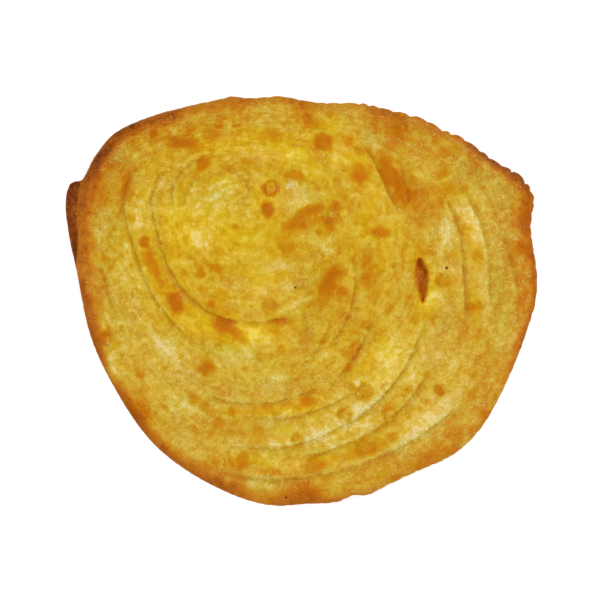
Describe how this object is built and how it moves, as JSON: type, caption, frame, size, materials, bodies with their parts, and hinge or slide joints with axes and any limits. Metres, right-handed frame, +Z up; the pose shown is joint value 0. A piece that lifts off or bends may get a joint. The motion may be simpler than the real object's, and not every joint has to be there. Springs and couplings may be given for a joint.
{
  "type": "paratha flatbread",
  "caption": "Flat fried layered flatbread with an off-centre coil of folded laps, blisters and a browned rim, lying on its flat underside.",
  "frame": {"origin": "centre of the bounding box in plan, at the underside the bread lies on", "axes": "+X along the longest way across the bread, +Y across it towards the side nearest the coil's eye, +Z up out of the face that shows"},
  "size_m": [0.19, 0.1654, 0.0065],
  "materials": {
    "crust": "fried dough crust, golden yellow with toasted brown patches, a darker browned rim and an oily sheen"
  },
  "bodies": {
    "root": {"paratha": "crust"}
  },
  "joints": []
}
